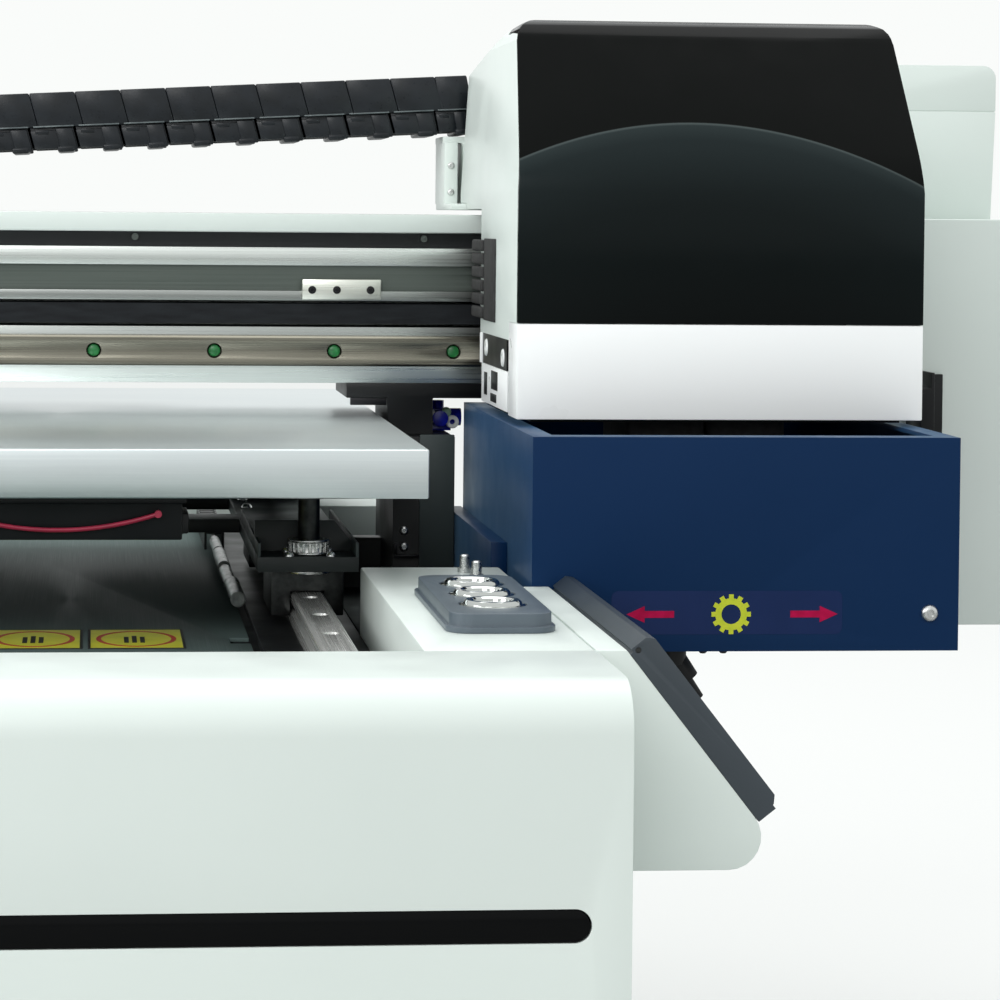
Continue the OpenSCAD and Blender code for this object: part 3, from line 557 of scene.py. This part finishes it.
# ---- Table, lift and fan ----
# A 21 mm aluminium bed plate, fine brushed along its width; knurled steel nuts lift it on
# four screws, and a black fan box hangs under its front.
bed_alu = brushed("bed_aluminium", (0.66, 0.715, 0.725), (0.74, 0.79, 0.79), 0.34, 0,
                  0.0004, 0.0000015, 0.14)
dress("table_top", bed_alu, 0.0009, 3)
dress("fan_box", satin_black, 0.0008)
lead_skin, tree, shader, where = finish("red_insulation", (0.3, 0.012, 0.04), 0.4)
vary(tree, shader, "Base Color", grain(tree, where, 0.01), (0.22, 0.008, 0.03), (0.36, 0.015, 0.05))
dress("fan_lead", lead_skin, 0.0)
dress("lift_screws", block_steel, 0.0003)
k = 0
for y in (-84, 210):
    for x in (114, -114):
        k += 1
        node = "lift_nut_%d" % k
        dress(node, turned_steel, 0.0003)
        knurl = bmesh.new()
        for i in range(20):
            a = 2 * math.pi * i / 20
            new = bmesh.new()
            bmesh.ops.create_cube(new, size=0.001)
            bmesh.ops.scale(new, vec=(1.5, 1.5, 4.7), verts=new.verts)
            bmesh.ops.bevel(new, geom=new.edges[:], offset=0.0003, affect="EDGES", segments=1,
                            profile=0.5, material=-1)
            bmesh.ops.transform(new, matrix=Matrix.Translation((x * 0.001, y * 0.001, 0.30365))
                                @ Matrix.Rotation(a, 4, "Z") @ Matrix.Translation((0.0088, 0, 0)),
                                verts=new.verts)
            join(knurl, new)
        add_piece(node + "_knurl", knurl, turned_steel, node)
bridge_paint = powder_coat("bridge_paint", (0.018, 0.022, 0.022), (0.026, 0.031, 0.031), 0.42, 0.25)
dress("y_carriage", bridge_paint, 0.0007)
bridge_heads = bmesh.new()
for s in (-1, 1):
    for y in (-56, -12, 138, 182):
        for x in (97, 131):
            turned(bridge_heads, (s * x, y, 300), (0, 0, 1),
                   [(r * 0.75, h * 0.9) for r, h in BUTTON_HEAD], 16)
    for a in range(4):
        turned(bridge_heads, (s * (114 + 13.5 * math.cos(math.pi * (0.25 + a / 2))),
                              -84 + 13.0 * math.sin(math.pi * (0.25 + a / 2)), 300), (0, 0, 1),
               [(r * 0.6, h * 0.9) for r, h in BUTTON_HEAD], 16)
add_piece("bridge_screws", bridge_heads, zinc, "y_carriage")
edges = bmesh.new()
for s in (-1, 1):
    block(edges, *sorted((s * 134.6, s * 136)), -97, 60, 300, 306.5, 0.3)
    block(edges, *sorted((s * 90, s * 91.4)), -97, 60, 300, 306.5, 0.3)
add_piece("bridge_rims", edges, charcoal, "y_carriage")
links = bmesh.new()
for i in range(12):
    y = 262 + 11 * i
    block(links, 79.3, 80.7, y, y + 10.2, 262.2, 275, 0.4, 1)
    block(links, 89.3, 90.7, y, y + 10.2, 262.2, 275, 0.4, 1)
    block(links, 80.7, 89.3, y + 2, y + 7, 272.6, 274.6, 0.4, 1)
small_nylon, tree, shader, where = finish("small_chain_nylon", (0.01, 0.011, 0.012), 0.4)
vary(tree, shader, "Base Color", grain(tree, where, 0.01), (0.007, 0.008, 0.009), (0.016, 0.017, 0.018))
add_piece("table_chain", links, small_nylon, "frame")
sleeves = bmesh.new()
for y0, y1, x, z, r in ((-8, 56, 85.6, 269.5, 3.8), (60, 118, 84.8, 269.0, 3.2), (122, 190, 84.6, 270, 3.4),
                        (196, 254, 84.6, 270, 3.0)):
    long = y1 - y0
    turned(sleeves, (x, y0, z), (0, 1, 0),
           [(0, 0), (r - 0.8, 0), (r, 0.8), (r, long - 0.8), (r - 0.8, long), (0, long)], 20)
clear_hose, tree, shader, where = finish("milky_hose", (0.55, 0.6, 0.58), 0.22)
vary(tree, shader, "Base Color", grain(tree, where, 0.004, (1, 4, 1)),
     (0.22, 0.25, 0.24), (0.5, 0.54, 0.52))
add_piece("hose_sleeves", sleeves, clear_hose, "frame")

# ---- Capping station ----
# Folded steel box in navy powder coat with a rubber cap carrier inside; a printed film on
# its front marks the height adjuster with a cog and two arrows.
navy_coat = powder_coat("navy_powder_coat", (0.0022, 0.0195, 0.066), (0.0032, 0.022, 0.074), 0.36, 0.1)
sheen = navy_coat.node_tree.nodes["Principled BSDF"]
sheen.inputs["Sheen Weight"].default_value = 0.19
sheen.inputs["Sheen Roughness"].default_value = 0.35
sheen.inputs["Sheen Tint"].default_value = (0.30, 0.62, 1.0, 1)
dress("station_box", navy_coat, 0.0024, 4)
columns.data.materials.append(navy_coat)
for f in columns.data.polygons:
    if f.center.x > 0.1968 and f.center.y < 0.086 and f.center.z < 0.308:
        f.material_index = 1
dress("cap_tray", rubber, 0.0006)
dress("cap_adjuster", black_screw, 0.0003)
film = bmesh.new()
block(film, 240, 342, -167.12, -166.9, 274, 293, 0)
film_skin, tree, shader, where = finish("navy_film", (0.012, 0.024, 0.10), 0.2)
vary(tree, shader, "Base Color", grain(tree, where, 0.02), (0.006, 0.018, 0.072), (0.008, 0.021, 0.082))
shader.inputs["Specular IOR Level"].default_value = 0.15
bmesh.ops.bevel(film, geom=[e for e in film.edges if abs(e.verts[0].co.y - e.verts[1].co.y) > 1e-5],
                offset=0.003, affect="EDGES", segments=4, profile=0.5, material=-1)
add_piece("adjuster_film", film, film_skin, "frame")
cog = bmesh.new()
turned(cog, (292.8, -167.1, 282.8), (0, -1, 0),
       [(4.3, 0), (4.3, 0.18), (7.0, 0.18), (7.0, 0), (4.3, 0)], 48)
for i in range(12):
    new = bmesh.new()
    bmesh.ops.create_cube(new, size=0.001)
    bmesh.ops.scale(new, vec=(2.1, 0.17, 2.2), verts=new.verts)
    bmesh.ops.transform(new, matrix=Matrix.Translation((0.2928, -0.1672, 0.2828))
                        @ Matrix.Rotation(2 * math.pi * i / 12, 4, "Y")
                        @ Matrix.Translation((0, 0, 0.0076)), verts=new.verts)
    join(cog, new)
lime_ink, tree, shader, where = finish("lime_ink", (0.5, 0.55, 0.01), 0.4)
vary(tree, shader, "Base Color", grain(tree, where, 0.004), (0.44, 0.52, 0.008), (0.56, 0.6, 0.02))
add_piece("adjuster_cog", cog, lime_ink, "frame")
arrows = bmesh.new()
for tip, tail, side in ((246.6, 267.6, -1), (340.0, 319.0, 1)):
    block(arrows, *sorted((tip - side * 8, tail)), -167.24, -167.1, 281.3, 284.3, 0)
    new = bmesh.new()
    block(new, *sorted((tip, tip - side * 8)), -167.24, -167.1, 279.2, 286.4, 0)
    for v in new.verts:
        if abs(v.co.x - 0.001 * tip) < 1e-6:
            v.co.z = 0.2828
    bmesh.ops.remove_doubles(new, verts=new.verts, dist=1e-7)
    join(arrows, new)
magenta_ink, tree, shader, where = finish("magenta_ink", (0.36, 0.004, 0.09), 0.4)
vary(tree, shader, "Base Color", grain(tree, where, 0.004), (0.32, 0.002, 0.040), (0.44, 0.004, 0.062))
shader.inputs["Specular IOR Level"].default_value = 0.1
add_piece("adjuster_arrows", arrows, magenta_ink, "frame")
station_heads = bmesh.new()
turned(station_heads, (381, -167, 283), (0, -1, 0), BUTTON_HEAD, 28)
add_piece("station_screw", station_heads, zinc, "frame")
rivets = bmesh.new()
for x in (281.5, 290.5):
    turned(rivets, (x, -162, 266.5), (0, 0, -1), [(0, 1.6), (1.2, 1.4), (1.9, 0.6), (2.0, 0), (0, 0)], 16)
add_piece("station_bumpers", rivets, rubber, "frame")

# ---- Ink pod ----
# White pod of folded sheet, the thick slate lid that closes its slope, the bottles inside.
dress("side_pod", white_coat, 0.0009, 3)
slate, tree, shader, where = finish("slate_moulding", (0.05, 0.06, 0.075), 0.38)
vary(tree, shader, "Base Color", grain(tree, where, 0.05), (0.030, 0.040, 0.050), (0.038, 0.050, 0.061))
relief(tree, shader, grain(tree, where, 0.0008), 0.00003)
dress("pod_lid", slate, 0.0012, 3)
lid_pins = bmesh.new()
for y0, y1 in ((-359.5, -354.8), (-172.2, -167.5)):
    turned(lid_pins, (216.75, y0, 294.9), (0, 1, 0), [(0, 0), (1.0, 0), (1.0, y1 - y0), (0, y1 - y0)], 18)
add_piece("lid_pins", lid_pins, block_steel, "pod_lid")
bottle_skin, tree, shader, where = finish("natural_polythene", (0.7, 0.7, 0.66), 0.45)
vary(tree, shader, "Base Color", grain(tree, where, 0.02), (0.62, 0.62, 0.58), (0.74, 0.74, 0.7))
dress("ink_bottles", bottle_skin, 0.0008)

# ---- Button box and deck pins ----
# Blue-grey moulded bezel let into the deck, three stepped chrome push buttons, and two
# steel dowels behind it.
bezel_skin, tree, shader, where = finish("bezel_moulding", (0.11, 0.14, 0.17), 0.34)
vary(tree, shader, "Base Color", grain(tree, where, 0.02), (0.070, 0.092, 0.112), (0.090, 0.115, 0.138))
relief(tree, shader, grain(tree, where, 0.0006), 0.00002)
dress("button_bezel", bezel_skin, 0.002, 4)
chrome, tree, shader, where = finish("polished_chrome", (0.52, 0.54, 0.52), 0.08, 1.0)
vary(tree, shader, "Roughness", grain(tree, where, 0.004), 0.05, 0.12)
for k, y in enumerate((-283, -250, -217), 1):
    button = bmesh.new()
    turned(button, (172.5, y, 0), (0, 0, 1),
           [(0, 303.3), (4.6, 303.3), (6.0, 302.9), (6.4, 301.6), (7.4, 301.6), (7.9, 303.6), (8.8, 304.3),
            (10.6, 304.3), (11.4, 303.6), (11.8, 302.6), (13.0, 302.3), (13.5, 301.6), (13.5, 285),
            (0, 285)], 40)
    node = "button_%d" % k
    piece = add_piece(node + "_cap", button, chrome, node)
    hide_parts(node)
pins = bmesh.new()
for x, y in ((182.4, -113), (184.6, -138)):
    turned(pins, (x, y, 295), (0, 0, 1),
           [(0, 8), (1.6, 8), (2.3, 7.4), (2.3, 2.2), (3.2, 2.0), (3.2, 0), (0, 0)], 20)
add_piece("deck_pins", pins, zinc, "frame")

# ---- Carriage hood and what hangs in it ----
# White sheet hood on an aluminium plate; the front is a glossy black cover with a painted
# reflection on its lower part, a pale arched line over charcoal that darkens downward; the
# cover sits over a separate white band.
band_coat = powder_coat("band_white_coat", (0.90, 0.92, 0.92), (0.92, 0.94, 0.94), 0.3)
dress("carriage_band", band_coat, 0.0006)
dress("carriage_shell", white_coat, 0.0008)
cover_reflection_skin, tree, shader, where = finish("cover_painted_reflection", (0.004, 0.005, 0.005), 0.14)
shader.inputs["Specular IOR Level"].default_value = 0.09
vary(tree, shader, "Roughness", grain(tree, where, 0.02), 0.12, 0.2)
axes = tree.nodes.new("ShaderNodeSeparateXYZ")
tree.links.new(where, axes.inputs[0])


def sum_of(tree, kind, a, b, c=None):
    """One arithmetic node of two or three values, each a number or another node's output."""
    step = tree.nodes.new("ShaderNodeMath")
    step.operation = kind
    for socket, value in zip(step.inputs, (a, b, c)):
        if value is None:
            continue
        if isinstance(value, (int, float)):
            socket.default_value = value
        else:
            tree.links.new(value, socket)
    return step.outputs[0]


# Painted reflection: just below the arc the base colour is a pale line, then charcoal that fades to black
# downward.
arc_middle, arc_top, arc_droop = 0.2898, 0.4988, 2.6127
aside = sum_of(tree, "SUBTRACT", axes.outputs["X"], arc_middle)
bow = sum_of(tree, "MULTIPLY", sum_of(tree, "MULTIPLY", aside, aside), arc_droop)
below = sum_of(tree, "SUBTRACT", sum_of(tree, "SUBTRACT", arc_top, bow), axes.outputs["Z"])
tone = tree.nodes.new("ShaderNodeValToRGB")
scale = sum_of(tree, "MULTIPLY_ADD", below, 8.0, 0.2)
tree.links.new(scale, tone.inputs[0])
steps = [(0.0, (0.0020, 0.0026, 0.0024)), (0.1965, (0.0012, 0.0018, 0.0015)), (0.2, (0.070, 0.088, 0.088)),
         (0.2055, (0.018, 0.026, 0.027)), (0.26, (0.0100, 0.0155, 0.0165)), (0.5, (0.0045, 0.0075, 0.0078)),
         (0.95, (0.0020, 0.0032, 0.0032))]
fill_ramp(tone, steps)
tree.links.new(tone.outputs[0], shader.inputs["Base Color"])
dress("carriage_cover", cover_reflection_skin, 0.0012, 3)
dress("carriage_plate", beam_alu, 0.0005)
dress("x_blocks", turned_steel, 0.0007)
dress("head_plate", satin_black, 0.0004)
dress("print_heads", turned_steel, 0.0005)
dress("uv_lamp", satin_black, 0.0006)
dress("chain_bracket", white_coat, 0.0004)
seal = bmesh.new()
block(seal, 206.0, 207.2, -26, 12, 404.5, 444.5, 0.4)
for i in range(6):
    z = 405.2 + 6.6 * i
    block(seal, 204.6, 207.2, 12.5, 49, z, z + 5.6, 1.2, 3)
add_piece("side_seal", seal, rubber, "carriage")
gib = bmesh.new()
block(gib, 207.2, 209.0, -66, 26, 364, 383, 0.4)
block(gib, 206.2, 208.0, 22, 26, 383, 398, 0.4)
add_piece("side_bracket", gib, band_coat, "carriage")
# Thin satin-black plates on the hood's side are painted shade of the gaps there.
gap_shade_plates = bmesh.new()
block(gap_shade_plates, 206.9, 207.4, -34, -12, 372, 381, 0.2)
block(gap_shade_plates, 206.9, 207.4, -30, -10, 366, 370, 0.2)
block(gap_shade_plates, 206.9, 207.4, 4, 14, 368, 379, 0.2)
block(gap_shade_plates, 207.3, 212, -64, 24, 383.2, 397.8, 0)
add_piece("side_gap_shade", gap_shade_plates, satin_black, "carriage")
spacers = bmesh.new()
for y, z in ((8, 391.2), (-52, 388.8)):
    turned(spacers, (212, y, z), (-1, 0, 0),
           [(0, 0), (4.4, 0), (4.4, 4.6), (3.8, 5.4), (2.0, 5.4), (1.8, 4.4), (0, 4.4)], 24)
add_piece("side_spacers", spacers, fitting_white, "carriage")
bracket_heads = bmesh.new()
for x, z in ((202.5, 482), (211, 470), (202.5, 468)):
    turned(bracket_heads, (x, 122, z), (0, -1, 0), [(r * 0.5, h * 0.5) for r, h in BUTTON_HEAD], 16)
add_piece("bracket_screws", bracket_heads, zinc, "carriage")

# ---- Drag chain ----
# Glass-filled nylon links, 23.7 mm pitch: each has two sheared side plates over a narrower
# lower row, a snap lid above and a rounded cross bar below.
nylon, tree, shader, where = finish("chain_nylon", (0.010, 0.012, 0.016), 0.26)
vary(tree, shader, "Base Color", grain(tree, where, 0.01), (0.006, 0.008, 0.010), (0.011, 0.014, 0.018))
shader.inputs["Specular IOR Level"].default_value = 0.3
vary(tree, shader, "Roughness", grain(tree, where, 0.003), 0.26, 0.36)
# The second nylon is lighter: a painted highlight along the lower rib of each side plate.
edge_highlight_skin, tree, shader, where = finish("nylon_edge_painted_highlight", (0.09, 0.11, 0.115), 0.3)
vary(tree, shader, "Base Color", grain(tree, where, 0.006), (0.06, 0.075, 0.08), (0.13, 0.155, 0.16))
PITCH = 23.7


def link(tall=32.0, wide=39.6):
    """One link, its pitch along X from 0, its width along Y about 0, its height from 0; the
    lower rib of each side plate takes the second material, a lighter colour that paints a highlight on it."""
    new = bmesh.new()
    half = wide / 2
    for s in (-1, 1):
        def side(a, b, outer, inner, low, high, edge, skin=0):
            first, first_face = len(new.verts), len(new.faces)
            block(new, a, b, *sorted((s * outer, s * inner)), low, high, edge, 2)
            for f in list(new.faces)[first_face:]:
                f.material_index = skin
            for v in list(new.verts)[first:]:
                v.co.x += (high * 0.001 - v.co.z) * 0.22
        side(-0.1, 23.55, half, half - 2.6, tall * 0.42, tall - 0.2, 0.8)
        side(1.2, 22.4, half + 0.15, half - 0.8, tall * 0.42, tall * 0.42 + 0.75, 0.2, 1)
        side(-2.4, 23.4, half - 2.2, half - 4.0, tall * 0.07, tall * 0.46, 0.3)
        side(-0.4, 13.6, half - 1.2, half - 2.6, tall * 0.06, tall * 0.37, 0.6)
        side(12.6, 21.6, half - 0.6, half - 2.6, tall * 0.02, tall * 0.40, 0.9)
        side(2.0, 9.0, half - 0.8, half - 2.4, tall * 0.30, tall * 0.38, 0.5)
    block(new, 0.5, 23.2, -half + 2.4, half - 2.4, tall - 3.2, tall - 0.6, 0.6)
    block(new, 13.5, 22.5, -half + 0.4, half - 0.4, 0.1, 3.6, 1.3, 3)
    return new


upper = bmesh.new()
slope = math.atan2(22.5, 423.5)
whole_links = 17
run_start = Matrix.Translation((-0.2092, 0.148, 0.47605)) @ Matrix.Rotation(-slope, 4, "Y")
for i in range(whole_links + 1):
    new = link(31.6, 39.4)
    if i == whole_links:
        bmesh.ops.scale(new, vec=(0.72, 1, 1), verts=new.verts)
    along = Matrix.Translation((0.001 * (PITCH * i + 2.6), 0, 0))
    bmesh.ops.transform(new, matrix=run_start @ along, verts=new.verts)
    join(upper, new)
run = add_piece("chain_upper_links", upper, nylon, "carriage", 40)
run.data.materials.append(edge_highlight_skin)
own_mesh(run)
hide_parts("chain_upper")
bend = bmesh.new()
bend_links = 5
bend_centre = Matrix.Translation((-0.210, 0.148, 0.4538))
stand_off = Matrix.Translation((0.0376, 0, 0)) @ Matrix.Rotation(-math.pi / 2, 4, "Y")
for i in range(bend_links):
    a = math.pi * (0.5 + (i + 0.5) / bend_links)
    new = link(28.0, 38.8)
    bmesh.ops.translate(new, vec=(-0.0125, 0, -0.014), verts=new.verts)
    turn_by = Matrix.Rotation(-a, 4, "Y")
    bmesh.ops.transform(new, matrix=bend_centre @ turn_by @ stand_off, verts=new.verts)
    join(bend, new)
block(bend, -208, 24, 134.2, 161.8, 406.4, 425.6, 1.0)
turn = add_piece("chain_bend_links", bend, nylon, "chain_bend", 40)
turn.data.materials.append(edge_highlight_skin)
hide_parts("chain_bend")
lower = bmesh.new()
for i in range(10):
    new = link(31.8, 39.4)
    bmesh.ops.translate(new, vec=(-0.2088 + 0.001 * PITCH * i, 0.148, 0.39985), verts=new.verts)
    join(lower, new)
rest = add_piece("chain_lower_links", lower, nylon, "frame", 40)
rest.data.materials.append(edge_highlight_skin)
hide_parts("chain_lower")
